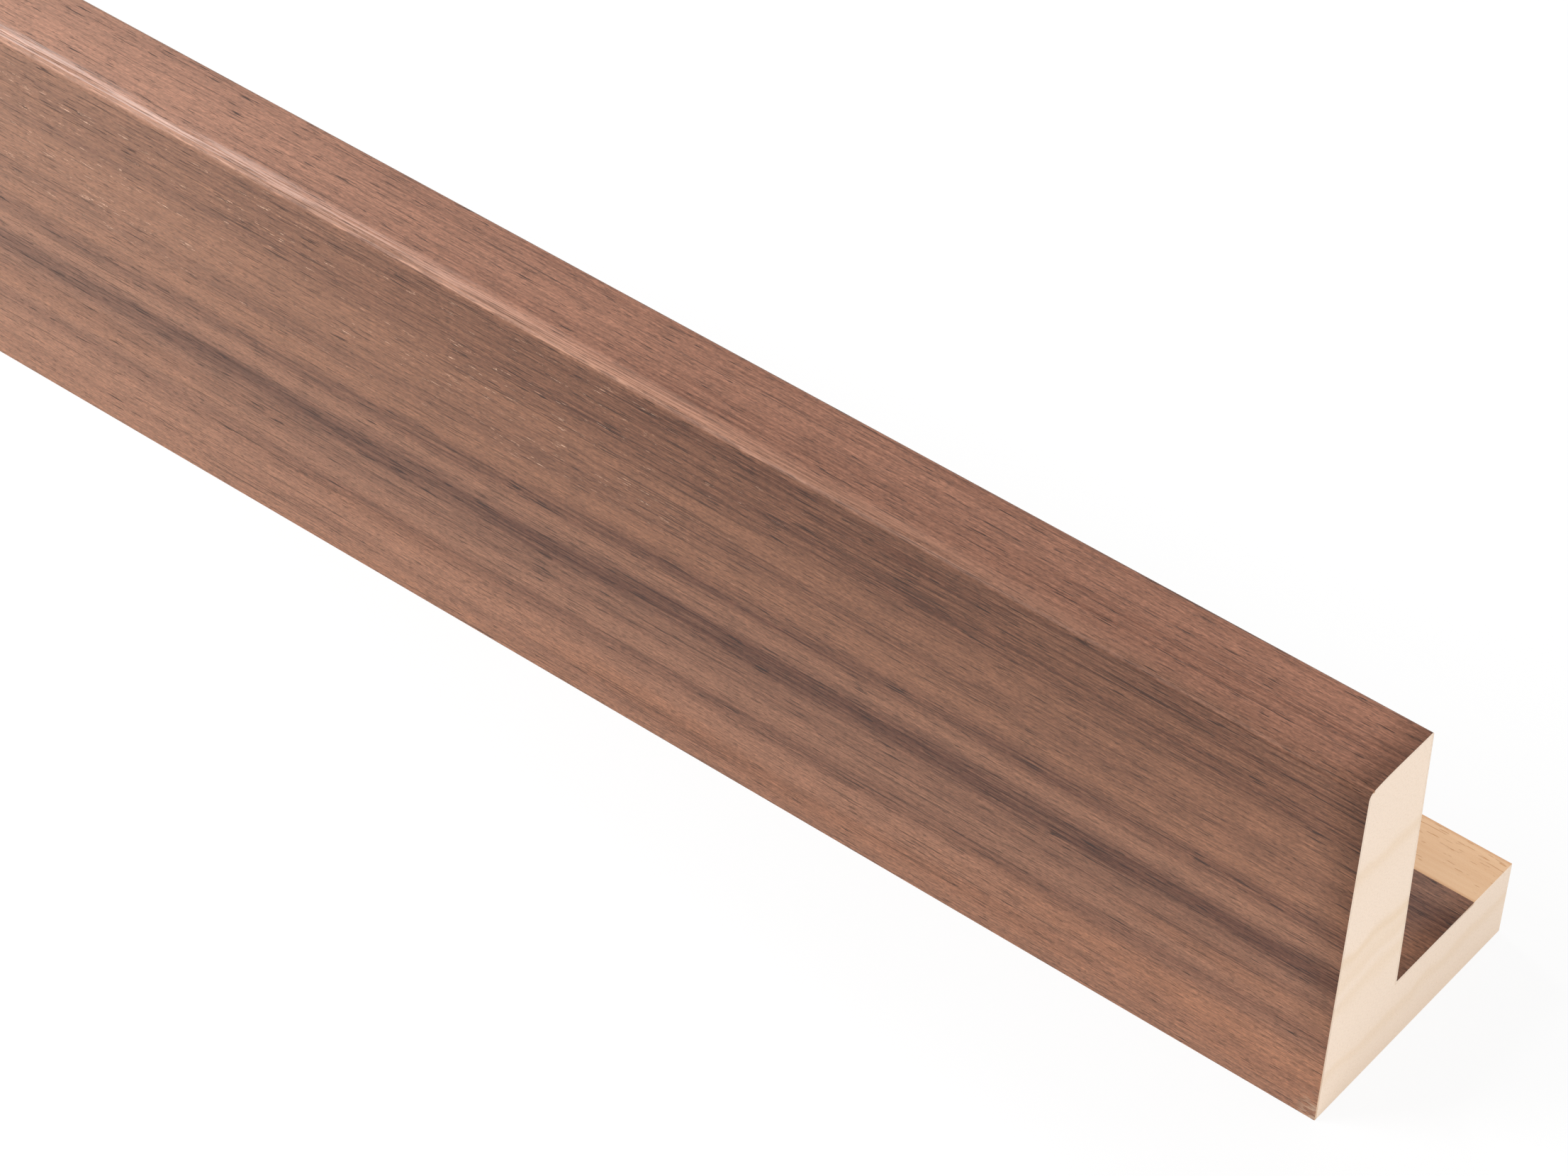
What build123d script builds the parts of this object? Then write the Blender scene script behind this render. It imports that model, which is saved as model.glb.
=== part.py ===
"""Floater picture frame moulding: a stick of L-shaped stock with a pale wood core and a walnut veneer.

The section is an L. Its tall leg shows round the edge of a framed canvas, and its low foot carries the
canvas from behind. One strip of veneer is wrapped round the leg: up the outer face, over the top, down
the inner face, and on over part of the foot, where it is let in flush with the bare wood beyond it.

Frame: X runs along the stick, Y across it from the outer face to the heel of the foot, and Z is up.
The origin is the middle of the base. All sizes are in millimetres.
"""

import os

from build123d import *

# The stick
stock_length = 1219.2  # 4 ft
overall_width = 38.1  # outer face to heel
overall_height = 50.8  # base to the top of the leg
leg_top_thickness = 12.3
leg_root_thickness = 14.1  # the inner face slopes, so the leg is thickest where it meets the foot
foot_thickness = 10.9

# The leg's top is sanded down a little towards its outer face
crown_width = 5.0
crown_drop = 0.35

# The veneer strip
veneer_thickness = 0.3
veneered_foot_width = 16.0  # how far the strip runs out over the foot from the leg
outer_edge_radius = 0.9  # bend over the leg's outer top edge, measured on the finished face
inner_edge_radius = 0.5  # bend over the leg's inner top edge

# Places across the section
outer_face_y = -overall_width / 2
heel_y = overall_width / 2
inner_top_y = outer_face_y + leg_top_thickness
inner_root_y = outer_face_y + leg_root_thickness
veneer_edge_y = inner_root_y + veneered_foot_width


def leg_and_foot(base_z):
    """The finished L section, standing on a base at the given height."""
    outer_top = (outer_face_y, overall_height - crown_drop)
    crown_end = (outer_face_y + crown_width, overall_height)
    inner_top = (inner_top_y, overall_height)
    foot_side = Polyline(
        crown_end,
        inner_top,
        (inner_root_y, foot_thickness),
        (heel_y, foot_thickness),
        (heel_y, base_z),
        (outer_face_y, base_z),
        outer_top,
    )
    crown = TangentArc(crown_end, outer_top, tangent=(-1, 0))
    section = make_face(foot_side + crown)
    section = fillet(section.vertices().sort_by_distance(outer_top)[0], outer_edge_radius)
    return fillet(section.vertices().sort_by_distance(inner_top)[0], inner_edge_radius)


def veneer_section():
    """The strip's section: what lies between the finished face and the same face set in by its thickness."""
    # A base set down by the thickness comes back to the stick's own base, which stays bare.
    set_in = offset(leg_and_foot(-veneer_thickness), -veneer_thickness, kind=Kind.INTERSECTION)
    veneered_side = Pos(outer_face_y, 0) * Rectangle(
        veneer_edge_y - outer_face_y, overall_height, align=(Align.MIN, Align.MIN)
    )
    return (leg_and_foot(0) - set_in) & veneered_side


def along_stick(section):
    """A section run the length of the stick, half each way from the origin."""
    across = Plane(origin=(0, 0, 0), x_dir=(0, 1, 0), z_dir=(1, 0, 0))
    return extrude(across * section, stock_length / 2, both=True)


def make_core():
    """The pale wood under the veneer, bare on its base, its heel and the outer part of its foot."""
    return along_stick(leg_and_foot(0) - veneer_section())


def make_walnut_veneer():
    """The single strip of veneer wrapped round the leg and out over the foot."""
    return along_stick(veneer_section())


if __name__ == "__main__":
    os.makedirs("parts", exist_ok=True)
    export_step(make_core(), "parts/core.step")
    export_step(make_walnut_veneer(), "parts/walnut_veneer.step")
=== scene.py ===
"""Looks for the floater frame moulding: a pale wood stick wrapped in walnut veneer.

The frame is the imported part's own: X along the stick, Y from the outer face to the heel, Z up, in metres.
"""

import math

import bmesh
import bpy
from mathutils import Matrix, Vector


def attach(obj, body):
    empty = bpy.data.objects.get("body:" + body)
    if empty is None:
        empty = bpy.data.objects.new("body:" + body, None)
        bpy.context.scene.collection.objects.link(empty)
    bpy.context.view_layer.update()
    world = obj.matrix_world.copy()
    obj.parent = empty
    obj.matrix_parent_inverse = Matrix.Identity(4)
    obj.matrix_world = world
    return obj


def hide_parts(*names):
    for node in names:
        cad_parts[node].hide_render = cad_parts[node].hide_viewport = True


MM = 0.001

# The section, as the part has it
STOCK_LENGTH = 1219.2 * MM
OVERALL_WIDTH = 38.1 * MM
OVERALL_HEIGHT = 50.8 * MM
LEG_TOP = 12.3 * MM
LEG_ROOT = 14.1 * MM
FOOT_THICKNESS = 10.9 * MM
VENEER_THICKNESS = 0.3 * MM
VENEERED_FOOT = 16.0 * MM
CROWN_WIDTH = 5.0 * MM
CROWN_DROP = 0.35 * MM
OUTER_EDGE_RADIUS = 0.9 * MM
INNER_EDGE_RADIUS = 0.5 * MM

HALF_LENGTH = STOCK_LENGTH / 2
OUTER_FACE_Y = -OVERALL_WIDTH / 2
HEEL_Y = OVERALL_WIDTH / 2
INNER_TOP_Y = OUTER_FACE_Y + LEG_TOP
INNER_ROOT_Y = OUTER_FACE_Y + LEG_ROOT
VENEER_EDGE_Y = INNER_ROOT_Y + VENEERED_FOOT

# The veneer as a flat sheet: how far it is pressed into the core, and how finely it is cut to be wrapped
SEATING = 0.005 * MM
SHEET_LENGTHS = 240
BEND_STEPS = 8
BEND_MARGIN = 0.15 * MM
SHARP_ANGLE = math.radians(30)

# Distances across the flat sheet, from the base of the outer face: its whole width and the outer arris
SHEET_WIDTH = 118.5 * MM
ARRIS = 50.3 * MM


class Graph:
    """Short ways to add nodes to one material or node group."""

    def __init__(self, tree):
        self.tree = tree

    def add(self, kind, **settings):
        node = self.tree.nodes.new(kind)
        for name, value in settings.items():
            setattr(node, name, value)
        return node

    def feed(self, socket, value):
        """Links an output to the socket, or sets the socket's own value."""
        if isinstance(value, bpy.types.NodeSocket):
            self.tree.links.new(value, socket)
        else:
            socket.default_value = value

    def maths(self, operation, *values, clamp=False):
        node = self.add("ShaderNodeMath", operation=operation, use_clamp=clamp)
        for socket, value in zip(node.inputs, values):
            self.feed(socket, value)
        return node.outputs[0]

    def times(self, first, *rest):
        for value in rest:
            first = self.maths("MULTIPLY", first, value)
        return first

    def plus(self, *values, clamp=False):
        """The sum of the values, held between 0 and 1 if it is clamped."""
        *parts, last = values
        first, *rest = parts
        for value in rest:
            first = self.maths("ADD", first, value)
        return self.maths("ADD", first, last, clamp=clamp)

    def split(self, vector):
        node = self.add("ShaderNodeSeparateXYZ")
        self.feed(node.inputs[0], vector)
        return node.outputs

    def vector(self, x=0.0, y=0.0, z=0.0):
        node = self.add("ShaderNodeCombineXYZ")
        for socket, value in zip(node.inputs, (x, y, z)):
            self.feed(socket, value)
        return node.outputs[0]

    def noise(self, vector, detail=2.0, roughness=0.5):
        node = self.add("ShaderNodeTexNoise", noise_dimensions="2D")
        self.feed(node.inputs["Vector"], vector)
        self.feed(node.inputs["Scale"], 1.0)
        self.feed(node.inputs["Detail"], detail)
        self.feed(node.inputs["Roughness"], roughness)
        return node.outputs["Fac"]

    def smooth(self, value, low, high, to_low=0.0, to_high=1.0):
        """Eases from to_low to to_high while the value goes from low to high."""
        return self.range(value, low, high, to_low, to_high, "SMOOTHSTEP")

    def range(self, value, low, high, to_low, to_high, way="LINEAR"):
        node = self.add("ShaderNodeMapRange", interpolation_type=way)
        for socket, given in zip(node.inputs, (value, low, high, to_low, to_high)):
            self.feed(socket, given)
        return node.outputs[0]

    def ramp(self, value, stops, interpolation="CARDINAL"):
        """A grey ramp through (place, level) stops from place 0 to place 1, read at the value."""
        node = self.add("ShaderNodeValToRGB")
        band = node.color_ramp
        band.interpolation = interpolation
        first, *inner, last = stops
        band.elements[0].color = (first[1], first[1], first[1], 1)
        band.elements[1].color = (last[1], last[1], last[1], 1)
        for place, level in inner:
            band.elements.new(place).color = (level, level, level, 1)
        self.feed(node.inputs[0], value)
        return node.outputs[0]

    def blend(self, amount, low, high, kind="MIX"):
        node = self.add("ShaderNodeMix", data_type="RGBA", blend_type=kind)
        self.feed(node.inputs["Factor"], amount)
        self.feed(node.inputs["A"], low)
        self.feed(node.inputs["B"], high)
        return node.outputs["Result"]

    def shaded(self, colour, shade):
        """The colour, made lighter or darker by the shade."""
        return self.blend(1.0, colour, self.vector(shade, shade, shade), "MULTIPLY")

    def bump(self, height, distance):
        node = self.add("ShaderNodeBump")
        self.feed(node.inputs["Height"], height)
        self.feed(node.inputs["Distance"], distance)
        self.feed(node.inputs["Strength"], 1.0)
        return node.outputs["Normal"]

    def use(self, group, **values):
        """Places a node group that has one output. Input names are given with _ for a space."""
        node = self.add("ShaderNodeGroup", node_tree=group)
        for name, value in values.items():
            self.feed(node.inputs[name.replace("_", " ")], value)
        return node.outputs[0]


def linear(red, green, blue):
    """An 8-bit display colour as the scene's linear colour, by the sRGB curve."""
    def channel(level):
        level /= 255
        return level / 12.92 if level <= 0.04045 else ((level + 0.055) / 1.055) ** 2.4
    return (channel(red), channel(green), channel(blue), 1.0)


def new_group(name, inputs, output):
    """An empty node group with one float output: its graph, its inputs' sockets and its output's socket.

    Each input is (name, value to start with), or (name, None) for a vector.
    """
    tree = bpy.data.node_groups.new(name, "ShaderNodeTree")
    for label, start in inputs:
        kind = "NodeSocketVector" if start is None else "NodeSocketFloat"
        socket = tree.interface.new_socket(label, in_out="INPUT", socket_type=kind)
        if start is not None:
            socket.default_value = start
    tree.interface.new_socket(output, in_out="OUTPUT", socket_type="NodeSocketFloat")
    graph = Graph(tree)
    start_node = graph.add("NodeGroupInput")
    end_node = graph.add("NodeGroupOutput")
    return graph, start_node.outputs, end_node.inputs[0]


def fibre_group():
    """Fine streaks that run with the grain, about 0.5 on average."""
    inputs = [("Face", None), ("Length", 20 * MM), ("Width", 0.3 * MM), ("Offset", 0.0)]
    graph, given, result = new_group("wood_fibres", inputs, "Streaks")
    along, across, _ = graph.split(given["Face"])
    stretched = graph.vector(
        graph.plus(graph.maths("DIVIDE", along, given["Length"]), given["Offset"]),
        graph.plus(graph.maths("DIVIDE", across, given["Width"]), given["Offset"]),
    )
    graph.feed(result, graph.noise(stretched, detail=3.0, roughness=0.6))
    return graph.tree


# What the noise has to pass to be a pore, where pores are fewest and where they crowd, and their soft rim
PORE_LIMIT_SPARSE = 0.74
PORE_LIMIT_CROWDED = 0.6
PORE_RIM = 0.05


def pore_group():
    """Open pores: short ragged dashes along the grain, 1 inside a pore.

    More Crowd, from 0 to 1, gives more of them.
    """
    inputs = [("Face", None), ("Length", 3 * MM), ("Width", 0.16 * MM), ("Crowd", 0.5), ("Offset", 0.0)]
    graph, given, result = new_group("open_pores", inputs, "Pores")
    along, across, _ = graph.split(given["Face"])
    stretched = graph.vector(
        graph.plus(graph.maths("DIVIDE", along, given["Length"]), given["Offset"]),
        graph.maths("DIVIDE", across, given["Width"]),
    )
    limit = graph.range(given["Crowd"], 0.0, 1.0, PORE_LIMIT_SPARSE, PORE_LIMIT_CROWDED)
    dashes = graph.noise(stretched, detail=1.5, roughness=0.6)
    graph.feed(result, graph.smooth(dashes, limit, graph.plus(limit, PORE_RIM)))
    return graph.tree


def nap_group():
    """The fine nap of sanded wood, about 0.5 on average."""
    inputs = [("Face", None), ("Grain", 0.2 * MM), ("Stretch", 1.6)]
    graph, given, result = new_group("sanded_nap", inputs, "Nap")
    along, across, _ = graph.split(given["Face"])
    scaled = graph.vector(
        graph.maths("DIVIDE", along, graph.times(given["Grain"], given["Stretch"])),
        graph.maths("DIVIDE", across, given["Grain"]),
    )
    graph.feed(result, graph.noise(scaled, detail=2.0, roughness=0.7))
    return graph.tree


def new_material(name):
    """A material with its node tree and its Principled BSDF."""
    material = bpy.data.materials.new(name)
    material.use_nodes = True
    return material, material.node_tree, material.node_tree.nodes["Principled BSDF"]


class Sheet(Graph):
    """The veneer material's graph, with places on the flat sheet in metres."""

    def __init__(self, tree):
        super().__init__(tree)
        self.face = self.add("ShaderNodeUVMap", uv_map="sheet").outputs[0]
        self.along, self.across, _ = self.split(self.face)
        self.from_end = self.maths("SUBTRACT", HALF_LENGTH, self.along)

    def streaks(self, fibres, length, width, offset=0.0):
        """Streaks this many mm long and wide."""
        return self.use(fibres, Face=self.face, Length=length * MM, Width=width * MM, Offset=offset)

    def dashes(self, pores, length, width, crowd, offset=0.0):
        """Pores this many mm long and wide."""
        return self.use(
            pores, Face=self.face, Length=length * MM, Width=width * MM, Crowd=crowd, Offset=offset
        )

    def drifting(self, length, width, offset, detail=2.0):
        """Soft noise on the sheet, this many mm long and wide, about 0.5 on average."""
        place = self.vector(
            self.plus(self.maths("DIVIDE", self.along, length * MM), offset),
            self.maths("DIVIDE", self.across, width * MM),
        )
        return self.noise(place, detail=detail)

    def swing(self, noise, reach):
        """The noise as a distance to either side, reach mm in all."""
        return self.times(self.maths("SUBTRACT", noise, 0.5), reach * MM)

    def between(self, value, low, high, edge):
        """1 between two places across the sheet, with soft edges."""
        rise = self.smooth(value, low - edge, low + edge)
        fall = self.smooth(value, high - edge, high + edge, 1.0, 0.0)
        return self.times(rise, fall)

    def profile(self, place, stops, top=1.0, interpolation="CARDINAL"):
        """The level at a place across the sheet, from stops of (mm, level) that go up to the top level."""
        width = stops[-1][0]
        scaled = [(stop / width, level / top) for stop, level in stops]
        level = self.ramp(self.maths("DIVIDE", place, SHEET_WIDTH), scaled, interpolation)
        return level if top == 1.0 else self.times(level, top)


# How dark the figure is at places across the sheet, in mm from the base of the outer face; on the leg's
# top, from 52 to 61 mm, the figure is also made darker as painted shade
FIGURE = [
    (0.0, 0.1), (2.4, 0.02), (4.2, 0.2), (6.0, 0.02), (9.0, 0.06), (11.8, 0.5), (14.2, 0.04),
    (16.8, 0.42), (18.4, 0.3), (21.3, 1.0), (23.2, 0.56), (25.4, 0.14), (26.8, 0.48), (28.3, 0.68),
    (31.2, 0.12), (34.5, 0.42), (38.2, 0.2), (43.0, 0.58), (45.0, 0.45), (47.0, 0.6), (50.0, 0.5),
    (52.0, 0.3), (56.0, 0.5), (60.5, 0.3), (70.0, 0.6), (79.0, 0.2), (90.0, 0.7), (102.5, 0.5),
    (109.0, 0.35), (114.0, 1.0), (116.0, 0.5), (118.5, 0.5),
]
# How much lighter or darker the sheet is made between the bands at those places: lightest low on the outer
# face, darkest high on it and over the arris
GROUND = [
    (0.0, 1.5), (8.0, 1.36), (14.0, 1.14), (20.0, 1.0), (26.0, 0.97), (32.0, 0.85), (38.0, 0.8),
    (41.0, 0.76), (48.5, 0.74), (50.5, 0.74), (54.0, 0.96), (62.0, 1.0), (90.0, 0.95), (102.0, 0.95),
    (109.0, 1.05), (118.5, 1.05),
]
GROUND_TOP = 2.0
# How far, in mm, each place's bands sink towards the far end of the stick
SINK = [
    (0.0, 0.0), (10.0, 1.5), (20.0, 2.1), (28.0, 3.2), (33.0, 3.0), (40.0, 1.0), (46.0, 0.0), (118.5, 0.0),
]
SINK_TOP = 4.0
SINK_REACH = (50 * MM, 150 * MM)
# On the leg's top the figure slants, by so much in all over so long a stretch
TOP_ZONE = (52 * MM, 64 * MM)
TOP_SLANT = 8 * MM
TOP_SLANT_REACH = 300 * MM


def figure_place(sheet):
    """Where across the sheet each point takes its figure from, so that the bands sink, slant and waver."""
    sink = sheet.times(
        sheet.smooth(sheet.from_end, *SINK_REACH),
        sheet.profile(sheet.across, SINK, SINK_TOP, "LINEAR"),
        MM,
    )
    slant = sheet.times(
        sheet.between(sheet.across, *TOP_ZONE, edge=1.5 * MM),
        sheet.range(sheet.from_end, 0.0, TOP_SLANT_REACH, 0.0, TOP_SLANT),
    )
    return sheet.plus(
        sheet.across,
        sink,
        slant,
        sheet.swing(sheet.drifting(length=150, width=40, offset=0.0, detail=1.0), reach=2.0),
        sheet.swing(sheet.drifting(length=24, width=3.0, offset=4.0), reach=1.5),
        sheet.swing(sheet.drifting(length=6, width=0.9, offset=21.0), reach=0.45),
    )


# A dusky zone under the outer arris, darkest some way in from the sawn end
DUSKY_ZONE = (37.5 * MM, 50 * MM)
DUSK_REACH = (50 * MM, 170 * MM)
DUSK_NEAR = 0.12
DUSK_FAR = -0.03
DUSK_AT_END = 0.2
PATCHINESS = 0.25


def figure_darkness(sheet, place, fibres, hair):
    """How dark the figure is, from 0 to 1, with its bands made up of streaks and thin veins."""
    dusk = sheet.times(
        sheet.between(place, *DUSKY_ZONE, edge=2 * MM),
        sheet.smooth(sheet.from_end, *DUSK_REACH, DUSK_NEAR, DUSK_FAR),
        sheet.smooth(sheet.from_end, 0.0, DUSK_REACH[0], DUSK_AT_END, 1.0),
    )
    patches = sheet.maths("SUBTRACT", sheet.drifting(length=60, width=2.2, offset=9.0), 0.5)
    darkness = sheet.plus(sheet.profile(place, FIGURE), sheet.times(patches, PATCHINESS), dusk, clamp=True)
    middle = sheet.streaks(fibres, length=24, width=0.42, offset=3.7)
    darkness = sheet.times(
        darkness,
        sheet.range(middle, 0.32, 0.68, to_low=0.62, to_high=1.32),
        sheet.range(hair, 0.35, 0.65, to_low=0.72, to_high=1.28),
    )
    vein = sheet.smooth(sheet.streaks(fibres, length=55, width=0.36, offset=11.9), 0.6, 0.7)
    vein_strength = sheet.plus(sheet.times(darkness, 0.4), 0.1)
    return sheet.plus(darkness, sheet.times(vein, vein_strength), clamp=True)


WALNUT = linear(145, 103, 80)
OLIVE_WALNUT = linear(146, 99, 72)
# The leg's top takes its own darker, pinker copy of the walnut: painted shade on the top face
SHADED_TOP_WALNUT = linear(142, 99, 79)
DARK_FIGURE = linear(94, 58, 43)
# Towards the far end the walnut is blended paler and greyer: painted sheen
FAR_SHEEN_WALNUT = linear(216, 178, 154)
OLIVE_ZONE = (27 * MM, 48 * MM)
OLIVE_STRENGTH = 0.6
ROUND_THE_TOP = (51 * MM, 68 * MM)
FAR_SHEEN_REACH = (80 * MM, 230 * MM)
FAR_SHEEN_AMOUNT = 0.12
# Painted light: the walnut is made lighter near the sawn end
PAINTED_END_LIGHT_REACH = 45 * MM
PAINTED_END_LIGHT = 1.14


def walnut_colour(sheet, place, darkness, fibres, fine, nap_value):
    """The walnut before its pores: olive and pink wood, a darker copy on the leg's top as painted shade,
    the dark figure, light and dark fibres, painted light near the sawn end and painted sheen towards the
    far end.
    """
    olive = sheet.maths(
        "MAXIMUM",
        sheet.between(place, *OLIVE_ZONE, edge=5 * MM),
        sheet.smooth(sheet.drifting(length=110, width=9, offset=2.0), 0.5, 0.7),
    )
    pale = sheet.blend(sheet.times(olive, OLIVE_STRENGTH), WALNUT, OLIVE_WALNUT)
    pale = sheet.blend(sheet.between(place, *ROUND_THE_TOP, edge=2 * MM), pale, SHADED_TOP_WALNUT)
    tone = sheet.blend(darkness, pale, DARK_FIGURE)

    broad = sheet.streaks(fibres, length=60, width=1.3, offset=7.3)
    streaky = sheet.plus(
        sheet.range(fine, 0.25, 0.75, to_low=0.7, to_high=1.3),
        sheet.range(broad, 0.3, 0.7, to_low=-0.04, to_high=0.04),
    )
    shade = sheet.times(
        streaky,
        sheet.range(nap_value, 0.25, 0.75, to_low=0.72, to_high=1.28),
        sheet.profile(place, GROUND, GROUND_TOP),
        sheet.smooth(sheet.from_end, 0.0, PAINTED_END_LIGHT_REACH, PAINTED_END_LIGHT, 1.0),
    )
    far = sheet.smooth(sheet.from_end, *FAR_SHEEN_REACH, 0.0, FAR_SHEEN_AMOUNT)
    return sheet.blend(far, sheet.shaded(tone, shade), FAR_SHEEN_WALNUT)


PORE_COLOUR = linear(46, 30, 24)
LONG_PORE_STRENGTH = 0.9
SHORT_PORE_STRENGTH = 0.42
THREAD_FAINTEST = 0.08
THREAD_STRONGEST = 0.62


def walnut_pores(sheet, darkness, fibres, pores):
    """Where the pores are: long ones crowded in the figure, short ones all over, and thin threads."""
    cluster = sheet.smooth(sheet.drifting(length=30, width=1.4, offset=17.0, detail=3.0), 0.45, 0.7)
    crowd = sheet.plus(sheet.times(darkness, 0.75), sheet.times(cluster, 0.45))
    long_pores = sheet.dashes(pores, length=4.6, width=0.18, crowd=crowd)
    short_pores = sheet.dashes(pores, length=1.3, width=0.13, crowd=0.7, offset=5.5)
    thread = sheet.times(
        sheet.smooth(sheet.streaks(fibres, length=32, width=0.19, offset=27.3), 0.6, 0.67),
        sheet.smooth(
            sheet.drifting(length=45, width=1.6, offset=71.0), 0.46, 0.6, THREAD_FAINTEST, THREAD_STRONGEST
        ),
    )
    dashes = sheet.maths(
        "MAXIMUM",
        sheet.times(long_pores, LONG_PORE_STRENGTH),
        sheet.times(short_pores, SHORT_PORE_STRENGTH),
    )
    return sheet.maths("MAXIMUM", dashes, thread)


# The outer arris is rubbed: pale fibres over the crown, which also carry a painted highlight, and a broken
# pale line on the edge itself
WORN_SHEEN_FIBRES = linear(200, 148, 122)
WORN_SHEEN_WIDTH = 1.85 * MM
WORN_SHEEN_REACH = (5 * MM, 105 * MM)
WORN_SHEEN_FAR_REACH = (110 * MM, 180 * MM)
WORN_SHEEN_NEAR = 0.46
WORN_SHEEN_FAR = 0.36
EDGE_LINE = linear(198, 148, 120)
EDGE_LINE_HALF = 0.12 * MM
EDGE_LINE_REACH = (45 * MM, 95 * MM)
EDGE_LINE_STRENGTH = 0.45


def rub_arris_with_sheen(sheet, colour, hair):
    """The colour, with the outer arris worn pale and a painted highlight on the crown beside it."""
    wear_and_sheen = sheet.times(
        sheet.between(sheet.across, ARRIS, ARRIS + WORN_SHEEN_WIDTH, edge=0.75 * MM),
        sheet.smooth(hair, 0.38, 0.62, 0.12, 1.0),
        sheet.smooth(sheet.from_end, *WORN_SHEEN_REACH),
        sheet.smooth(sheet.from_end, *WORN_SHEEN_FAR_REACH, WORN_SHEEN_NEAR, WORN_SHEEN_FAR),
    )
    colour = sheet.blend(wear_and_sheen, colour, WORN_SHEEN_FIBRES)
    waver = sheet.swing(sheet.drifting(length=9, width=2.0, offset=61.0), reach=0.5)
    wavering = sheet.plus(sheet.across, waver)
    line = sheet.times(
        sheet.between(wavering, ARRIS - EDGE_LINE_HALF, ARRIS + EDGE_LINE_HALF, edge=0.1 * MM),
        sheet.smooth(sheet.drifting(length=4, width=0.3, offset=51.0), 0.46, 0.66),
        sheet.smooth(sheet.from_end, *EDGE_LINE_REACH, 0.0, EDGE_LINE_STRENGTH),
    )
    return sheet.blend(line, colour, EDGE_LINE)


# Painted glints: short pale dashes where the pore walls catch the light
PORE_GLINTS = linear(214, 178, 152)
GLINT_ZONE = (30 * MM, 49 * MM)
GLINT_REACH = (50 * MM, 130 * MM)


def add_pore_glints(sheet, colour, pores, nap_value):
    """The colour, with rows of painted glints high on the outer face, away from the sawn end."""
    glints = sheet.times(
        sheet.dashes(pores, length=3.2, width=0.13, crowd=0.5, offset=9.1),
        sheet.between(sheet.across, *GLINT_ZONE, edge=3 * MM),
        sheet.smooth(sheet.drifting(length=40, width=0.8, offset=31.0), 0.53, 0.62),
        sheet.smooth(nap_value, 0.42, 0.56),
        sheet.smooth(sheet.from_end, *GLINT_REACH),
    )
    return sheet.blend(glints, colour, PORE_GLINTS)


CHIPPED_WALNUT = linear(214, 182, 156)
CHIP_REACH = (0.4 * MM, 3 * MM)
CHIP_HEIGHT = (0.6 * MM, 5 * MM)
CHIP_STRENGTH = 0.8


def chip_corner(sheet, colour):
    """The colour, chipped pale at the sawn end's bottom corner."""
    chips = sheet.times(
        sheet.smooth(sheet.from_end, *CHIP_REACH, 1.0, 0.0),
        sheet.smooth(sheet.across, *CHIP_HEIGHT, 1.0, 0.0),
        sheet.smooth(sheet.drifting(length=1.6, width=0.5, offset=45.0), 0.46, 0.56),
        CHIP_STRENGTH,
    )
    return sheet.blend(chips, colour, CHIPPED_WALNUT)


# The rubbed crown next to the arris is polished, away from the sawn end
POLISH_START = 0.4 * MM
POLISH_WIDTH = 2.15 * MM
POLISH_REACH = (70 * MM, 172 * MM)
RELIEF = 0.03 * MM


def walnut_material(fibres, pores, nap):
    """Walnut veneer: pinkish brown, with dark figure along the stick, open pores, painted light and shade,
    a rubbed arris with a painted highlight, and painted glints in the pores.
    """
    material, tree, shader = new_material("walnut_veneer")
    sheet = Sheet(tree)
    fine = sheet.streaks(fibres, length=5, width=0.24)
    hair = sheet.streaks(fibres, length=16, width=0.22, offset=15.1)
    nap_value = sheet.use(nap, Face=sheet.face, Grain=0.19 * MM, Stretch=4.0)

    place = figure_place(sheet)
    darkness = figure_darkness(sheet, place, fibres, hair)
    pore = walnut_pores(sheet, darkness, fibres, pores)
    colour = walnut_colour(sheet, place, darkness, fibres, fine, nap_value)
    colour = sheet.blend(pore, colour, PORE_COLOUR)
    colour = rub_arris_with_sheen(sheet, colour, hair)
    colour = add_pore_glints(sheet, colour, pores, nap_value)
    sheet.feed(shader.inputs["Base Color"], chip_corner(sheet, colour))

    shader.inputs["Roughness"].default_value = 0.5
    shader.inputs["Specular IOR Level"].default_value = 0.25
    shader.inputs["Coat Roughness"].default_value = 0.34
    polish = sheet.times(
        sheet.between(sheet.across, ARRIS + POLISH_START, ARRIS + POLISH_WIDTH, edge=0.5 * MM),
        sheet.smooth(sheet.from_end, *POLISH_REACH),
        sheet.smooth(hair, 0.4, 0.6),
    )
    sheet.feed(shader.inputs["Coat Weight"], polish)

    height = sheet.maths("SUBTRACT", sheet.times(fine, 0.5), pore)
    height = sheet.plus(height, sheet.times(nap_value, 0.35))
    sheet.feed(shader.inputs["Normal"], sheet.bump(height, RELIEF))
    return material


PLANED = linear(242, 200, 157)
PLANED_DARK = linear(226, 178, 134)
PLANED_PALE = linear(248, 210, 170)
PLANED_PORES = linear(208, 146, 92)
# Along both edges of the foot's top the planed wood turns darker and more orange
ORANGE_LIP = linear(206, 148, 100)
LIP_WIDTH = 0.5 * MM
LIP_STRENGTH = 0.5


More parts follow.
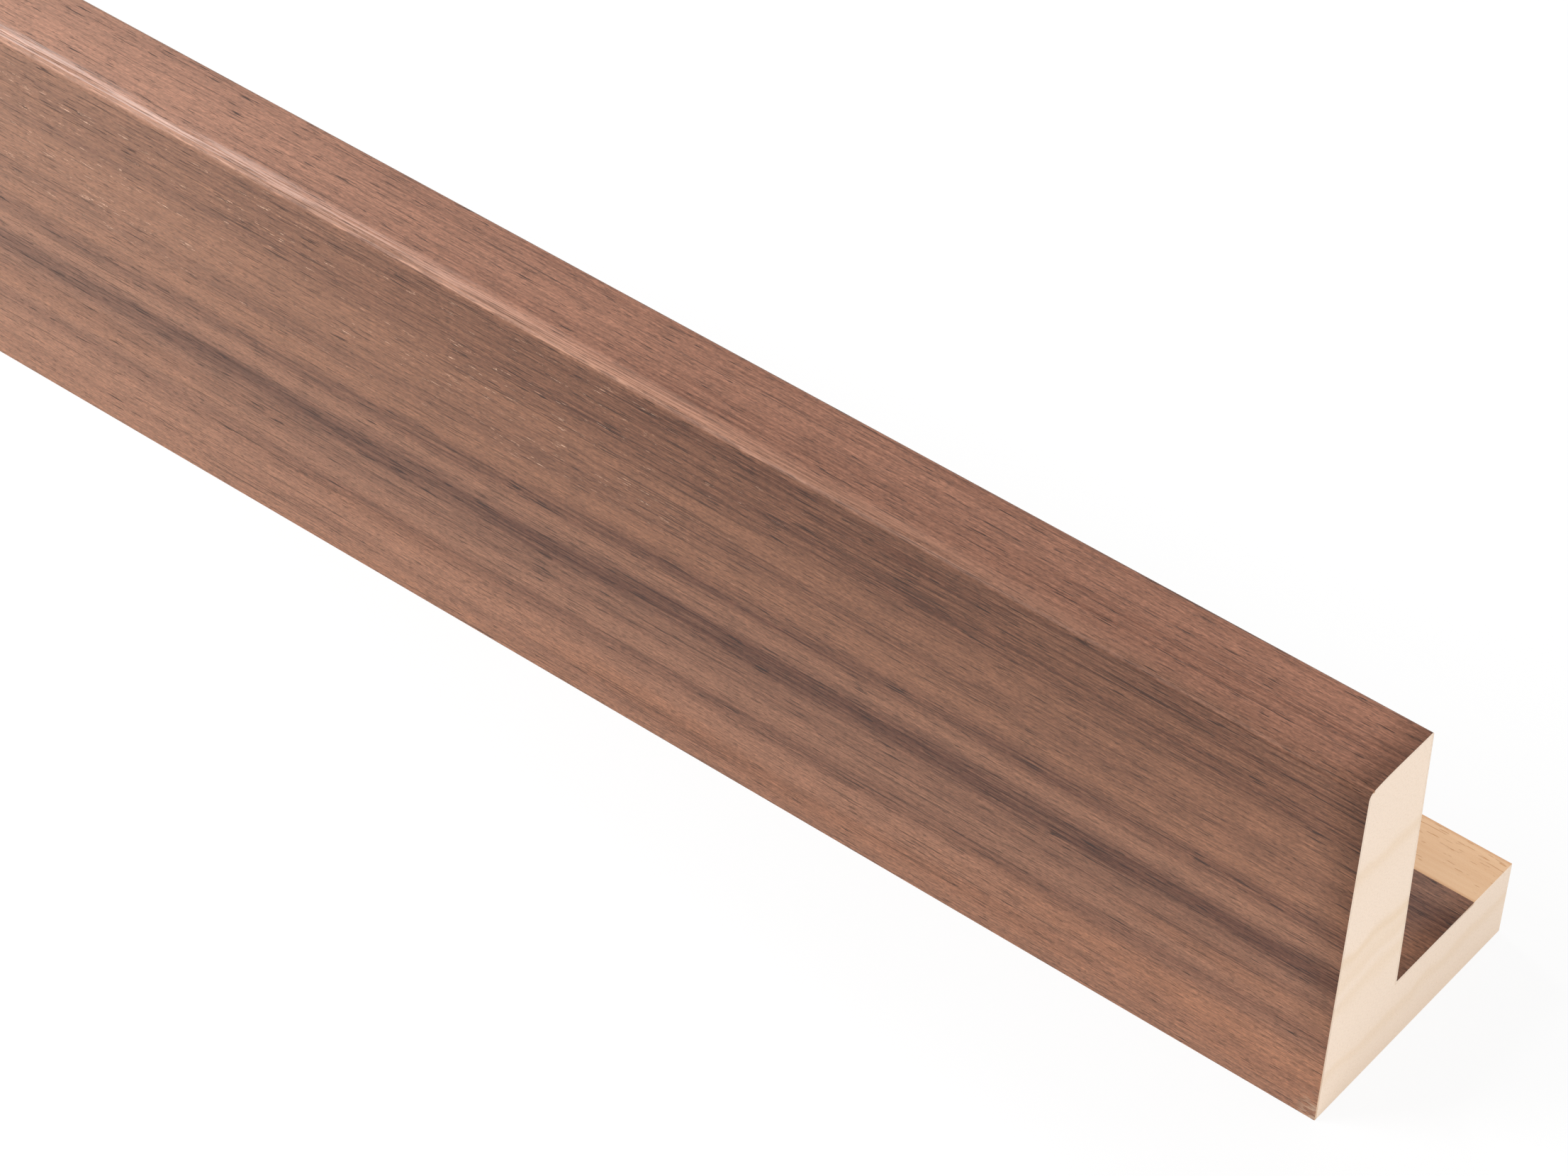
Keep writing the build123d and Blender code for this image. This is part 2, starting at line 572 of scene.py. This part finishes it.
def planed_wood(graph, place, fibres, pores, nap):
    """The core's planed faces: their colour and the height of their relief."""
    along, y, z = place
    side = graph.vector(along, graph.plus(y, z))
    broad = graph.use(fibres, Face=side, Length=40 * MM, Width=2.2 * MM, Offset=3.1)
    colour = graph.blend(broad, PLANED, PLANED_DARK)
    fine = graph.use(fibres, Face=side, Length=14 * MM, Width=0.5 * MM)
    colour = graph.blend(graph.range(fine, 0.3, 0.7, to_low=0.0, to_high=0.35), colour, PLANED_PALE)

    near_heel = graph.smooth(y, HEEL_Y - 5 * MM, HEEL_Y - 1 * MM, to_low=0.05, to_high=0.65)
    pore = graph.use(pores, Face=side, Length=2.8 * MM, Width=0.24 * MM, Crowd=near_heel)
    colour = graph.blend(graph.times(pore, 0.7), colour, PLANED_PORES)

    lips = graph.maths(
        "MAXIMUM",
        graph.smooth(y, HEEL_Y - LIP_WIDTH, HEEL_Y),
        graph.smooth(y, VENEER_EDGE_Y, VENEER_EDGE_Y + LIP_WIDTH, 1.0, 0.0),
    )
    lips = graph.times(lips, graph.smooth(z, FOOT_THICKNESS / 2, FOOT_THICKNESS, 0.0, LIP_STRENGTH))
    colour = graph.blend(lips, colour, ORANGE_LIP)
    side_nap = graph.use(nap, Face=side, Grain=0.2 * MM)
    return colour, graph.maths("SUBTRACT", side_nap, pore)


SAWN = linear(242, 222, 203)
SAWN_RING = linear(231, 204, 172)
SAWN_PORES = linear(206, 172, 134)
# The growth rings on the sawn end, from the base at 0 to the top at 1, and how dark each is; the rings low
# on the end are also kept fainter, as painted light on the lower part of the end
RINGS_AND_PAINTED_LIGHT = [
    (0.0, 0.2), (0.08, 0.12), (0.12, 0.4), (0.14, 0.1), (0.3, 0.12), (0.34, 0.4), (0.38, 0.1), (0.41, 0.4),
    (0.46, 0.3), (0.485, 0.6), (0.51, 0.1), (0.7, 0.15), (0.74, 0.45), (0.77, 0.1), (1.0, 0.05),
]
RING_WAVE_LENGTH = 7 * MM
RING_WAVE = 3 * MM


def sawn_wood(graph, place, pores, nap):
    """The core's sawn ends: their colour and the height of their relief."""
    _, y, z = place
    wave_place = [graph.maths("DIVIDE", distance, RING_WAVE_LENGTH) for distance in (y, z)]
    wave = graph.noise(graph.vector(*wave_place))
    ring_place = graph.plus(z, graph.times(graph.maths("SUBTRACT", wave, 0.5), RING_WAVE))
    ring = graph.ramp(graph.maths("DIVIDE", ring_place, OVERALL_HEIGHT), RINGS_AND_PAINTED_LIGHT)
    end = graph.vector(y, z)
    end_nap = graph.use(nap, Face=end, Grain=0.22 * MM)
    shade = graph.range(end_nap, 0.3, 0.7, to_low=0.97, to_high=1.03)
    colour = graph.shaded(graph.blend(ring, SAWN, SAWN_RING), shade)
    pore = graph.use(pores, Face=end, Length=0.3 * MM, Width=0.2 * MM, Crowd=0.8)
    return graph.blend(graph.times(pore, 0.22), colour, SAWN_PORES), end_nap


PLANED_ROUGHNESS = 0.6
SAWN_ROUGHNESS = 0.8


def core_material(fibres, pores, nap):
    """The pale wood: sawn where a face looks along the stick, planed on the other faces."""
    material, tree, shader = new_material("pale_core_wood")
    graph = Graph(tree)
    place = graph.split(graph.add("ShaderNodeTexCoord").outputs["Object"])
    facing, _, _ = graph.split(graph.add("ShaderNodeTexCoord").outputs["Normal"])
    sawn = graph.smooth(graph.maths("ABSOLUTE", facing), 0.6, 0.8)

    planed_colour, planed_height = planed_wood(graph, place, fibres, pores, nap)
    sawn_colour, sawn_height = sawn_wood(graph, place, pores, nap)
    graph.feed(shader.inputs["Base Color"], graph.blend(sawn, planed_colour, sawn_colour))
    graph.feed(shader.inputs["Roughness"], graph.smooth(sawn, 0.0, 1.0, PLANED_ROUGHNESS, SAWN_ROUGHNESS))
    graph.feed(shader.inputs["Normal"], graph.bump(graph.blend(sawn, planed_height, sawn_height), RELIEF))
    return material


def section_walk():
    """The finished face's line across the section, as flat and bent runs: (length, radius, turn)."""
    lean = math.atan2(INNER_ROOT_Y - INNER_TOP_Y, OVERALL_HEIGHT - FOOT_THICKNESS)
    inner_turn = math.pi / 2 - lean
    inner_tangent = INNER_EDGE_RADIUS * math.tan(inner_turn / 2)
    inner_face = math.hypot(INNER_ROOT_Y - INNER_TOP_Y, OVERALL_HEIGHT - FOOT_THICKNESS)
    crown_radius = (CROWN_WIDTH**2 + CROWN_DROP**2) / (2 * CROWN_DROP)
    crown_turn = math.asin((CROWN_WIDTH - OUTER_EDGE_RADIUS) / (crown_radius - OUTER_EDGE_RADIUS))
    outer_turn = math.pi / 2 - crown_turn
    crown_fall = crown_radius * (1 - math.cos(crown_turn)) + OUTER_EDGE_RADIUS * math.cos(crown_turn)
    return [
        (OVERALL_HEIGHT - crown_fall, None, 0.0),
        (OUTER_EDGE_RADIUS * outer_turn, OUTER_EDGE_RADIUS, outer_turn),
        (crown_radius * crown_turn, crown_radius, crown_turn),
        (LEG_TOP - CROWN_WIDTH - inner_tangent, None, 0.0),
        (INNER_EDGE_RADIUS * inner_turn, INNER_EDGE_RADIUS, inner_turn),
        (inner_face - inner_tangent, None, 0.0),
        (0.0, None, -inner_turn),
        (VENEERED_FOOT, None, 0.0),
    ]


def wrapped_place(distance):
    """Where a point this far across the flat sheet lies once the sheet is wrapped, as (y, z)."""
    y, z, heading = OUTER_FACE_Y, 0.0, math.pi / 2
    for length, radius, turn in section_walk():
        step = min(distance, length)
        if radius:
            swing = turn * step / length
            y += radius * (math.sin(heading) - math.sin(heading - swing))
            z += radius * (math.cos(heading - swing) - math.cos(heading))
            heading -= swing
        elif length == 0:
            heading -= turn
        else:
            y += step * math.cos(heading)
            z += step * math.sin(heading)
        distance -= step
        if distance <= 0 and length > 0:
            break
    return y, z


def sheet_cuts():
    """Distances across the flat sheet where it needs an edge to bend on, and the sheet's whole width."""
    cuts, start = [], 0.0
    for length, radius, _ in section_walk():
        if radius:
            cuts.append(start - BEND_MARGIN)
            cuts.extend(start + length * step / BEND_STEPS for step in range(BEND_STEPS + 1))
            cuts.append(start + length + BEND_MARGIN)
        elif length == 0:
            cuts.append(start)
        start += length
    return cuts, start


def build_veneer():
    """A flat strip of veneer, cut where it bends, then wrapped round the leg and out over the foot."""
    cuts, sheet_width = sheet_cuts()
    mesh = bpy.data.meshes.new("walnut_wrap")
    bm = bmesh.new()
    bmesh.ops.create_grid(bm, x_segments=SHEET_LENGTHS, y_segments=1, size=0.5)
    bmesh.ops.scale(bm, vec=(STOCK_LENGTH, sheet_width, 1), verts=bm.verts)
    bmesh.ops.translate(bm, vec=(0, sheet_width / 2, 0), verts=bm.verts)
    for cut in cuts:
        everything = bm.verts[:] + bm.edges[:] + bm.faces[:]
        bmesh.ops.bisect_plane(bm, geom=everything, plane_co=(0, cut, 0), plane_no=(0, 1, 0))
    sheet = bm.loops.layers.uv.new("sheet")
    for face in bm.faces:
        for loop in face.loops:
            loop[sheet].uv = loop.vert.co.xy
    for vert in bm.verts:
        vert.co.y, vert.co.z = wrapped_place(vert.co.y)
    bm.to_mesh(mesh)
    bm.free()
    smooth_bends(mesh)
    piece = bpy.data.objects.new("walnut_wrap", mesh)
    bpy.context.scene.collection.objects.link(piece)
    thickness = piece.modifiers.new("sheet_thickness", "SOLIDIFY")
    thickness.thickness = VENEER_THICKNESS + SEATING
    thickness.offset = -1
    thickness.use_even_offset = True
    thickness.material_offset_rim = 1
    return piece


def smooth_bends(mesh):
    """Shades the bends smooth and keeps the corner at the leg's root sharp."""
    for face in mesh.polygons:
        face.use_smooth = True
    mesh.set_sharp_from_angle(angle=SHARP_ANGLE)


FLOOR_REACH = 4.0
FLOOR_GAP = 0.05 * MM
FLOOR_COLOUR = (0.85, 0.85, 0.85, 1)
FLOOR_WHITENESS = 0.88


def floor_material():
    """Pale floor that takes the shadow, shows almost white to the camera, and is clear from below."""
    material, tree, _ = new_material("pale_floor")
    tree.nodes.clear()
    graph = Graph(tree)
    pale = graph.add("ShaderNodeBsdfDiffuse")
    pale.inputs["Color"].default_value = FLOOR_COLOUR
    white = graph.add("ShaderNodeEmission")
    rays = graph.add("ShaderNodeLightPath").outputs
    mirrored = graph.maths("MAXIMUM", rays["Is Glossy Ray"], rays["Is Transmission Ray"])
    seen = graph.maths("MAXIMUM", rays["Is Camera Ray"], mirrored)
    from_above = graph.add("ShaderNodeMixShader")
    graph.feed(from_above.inputs[0], graph.times(seen, FLOOR_WHITENESS))
    graph.feed(from_above.inputs[1], pale.outputs[0])
    graph.feed(from_above.inputs[2], white.outputs[0])
    clear = graph.add("ShaderNodeBsdfTransparent")
    either_side = graph.add("ShaderNodeMixShader")
    graph.feed(either_side.inputs[0], graph.add("ShaderNodeNewGeometry").outputs["Backfacing"])
    graph.feed(either_side.inputs[1], from_above.outputs[0])
    graph.feed(either_side.inputs[2], clear.outputs[0])
    end = graph.add("ShaderNodeOutputMaterial")
    graph.feed(end.inputs[0], either_side.outputs[0])
    return material


def build_floor():
    """A plain flat floor, just under the moulding."""
    mesh = bpy.data.meshes.new("studio_floor")
    bm = bmesh.new()
    bmesh.ops.create_grid(bm, x_segments=1, y_segments=1, size=FLOOR_REACH)
    bm.to_mesh(mesh)
    bm.free()
    mesh.materials.append(floor_material())
    floor = bpy.data.objects.new("studio_floor", mesh)
    floor.location.z = -FLOOR_GAP
    bpy.context.scene.collection.objects.link(floor)


ROOM_LIGHT = 0.7
ROOM_SEEN = 1.0


def build_world():
    """Even white light from all round, and white where the camera looks past the floor."""
    world = bpy.data.worlds.new("studio")
    bpy.context.scene.world = world
    world.use_nodes = True
    graph = Graph(world.node_tree)
    background = world.node_tree.nodes["Background"]
    background.inputs["Color"].default_value = (1, 1, 1, 1)
    rays = graph.add("ShaderNodeLightPath").outputs
    seen = graph.maths("MAXIMUM", rays["Is Camera Ray"], rays["Is Transmission Ray"])
    graph.feed(background.inputs["Strength"], graph.range(seen, 0.0, 1.0, ROOM_LIGHT, ROOM_SEEN))


# Each softbox: its name, where it hangs, the point it faces, its width and height in metres, and its watts
SOFTBOXES = [
    ("key_softbox", (0.27, -0.27, 0.30), (0.36, -0.01, 0.03), 0.25, 0.20, 1.7),
    ("arris_softbox", (0.107, 0.158, 0.467), (0.41, -0.018, 0.05), 0.12, 0.12, 0.95),
    ("far_softbox", (-0.40, -0.50, 0.60), (-0.40, 0, 0.02), 1.0, 0.35, 3.25),
    ("end_softbox", (1.20, -0.30, 0.30), (0.57, 0, 0.03), 0.5, 0.5, 1.33),
    ("back_softbox", (0.0, 1.30, 0.28), (0.0, 0.0, 0.03), 1.2, 0.3, 2.0),
]


def build_softbox(name, place, aim, width, height, watts):
    """A soft area lamp that faces a point."""
    lamp = bpy.data.lights.new(name, "AREA")
    lamp.shape = "RECTANGLE"
    lamp.size, lamp.size_y = width, height
    lamp.energy = watts
    holder = bpy.data.objects.new(name, lamp)
    holder.location = place
    holder.rotation_euler = (Vector(aim) - Vector(place)).to_track_quat("-Z", "Y").to_euler()
    holder.visible_camera = False
    bpy.context.scene.collection.objects.link(holder)


# The photograph's camera, as its view of the section's corners gives it
CAMERA_PLACE = (791.61 * MM, -383.61 * MM, 443.73 * MM)
CAMERA_TURN = (47.4003, -2.7987, 37.8876)
SENSOR_WIDTH = 36
FOCAL_LENGTH = 124.26
NEAREST_SEEN = 0.01


def build_camera():
    """The camera that takes the photograph's view."""
    lens = bpy.data.cameras.new("photo_camera")
    lens.sensor_width = SENSOR_WIDTH
    lens.lens = FOCAL_LENGTH
    lens.clip_start = NEAREST_SEEN
    camera = bpy.data.objects.new("photo_camera", lens)
    camera.location = CAMERA_PLACE
    camera.rotation_euler = [math.radians(angle) for angle in CAMERA_TURN]
    bpy.context.scene.collection.objects.link(camera)
    bpy.context.scene.camera = camera


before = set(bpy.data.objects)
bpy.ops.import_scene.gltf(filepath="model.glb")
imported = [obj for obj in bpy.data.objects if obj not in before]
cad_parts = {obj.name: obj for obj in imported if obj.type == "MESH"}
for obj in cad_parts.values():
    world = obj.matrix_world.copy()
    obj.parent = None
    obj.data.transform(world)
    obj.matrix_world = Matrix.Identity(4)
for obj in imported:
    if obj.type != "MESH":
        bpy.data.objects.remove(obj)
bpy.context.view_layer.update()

fibres, pores, nap = fibre_group(), pore_group(), nap_group()
core_wood = core_material(fibres, pores, nap)
veneer = build_veneer()
veneer.data.materials.append(walnut_material(fibres, pores, nap))
veneer.data.materials.append(core_wood)
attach(veneer, "root")
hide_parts("walnut_veneer")

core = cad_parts["core"]
core.data.materials.clear()
core.data.materials.append(core_wood)

build_floor()
build_world()
for softbox in SOFTBOXES:
    build_softbox(*softbox)
build_camera()

scene = bpy.context.scene
scene.view_settings.view_transform = "Standard"
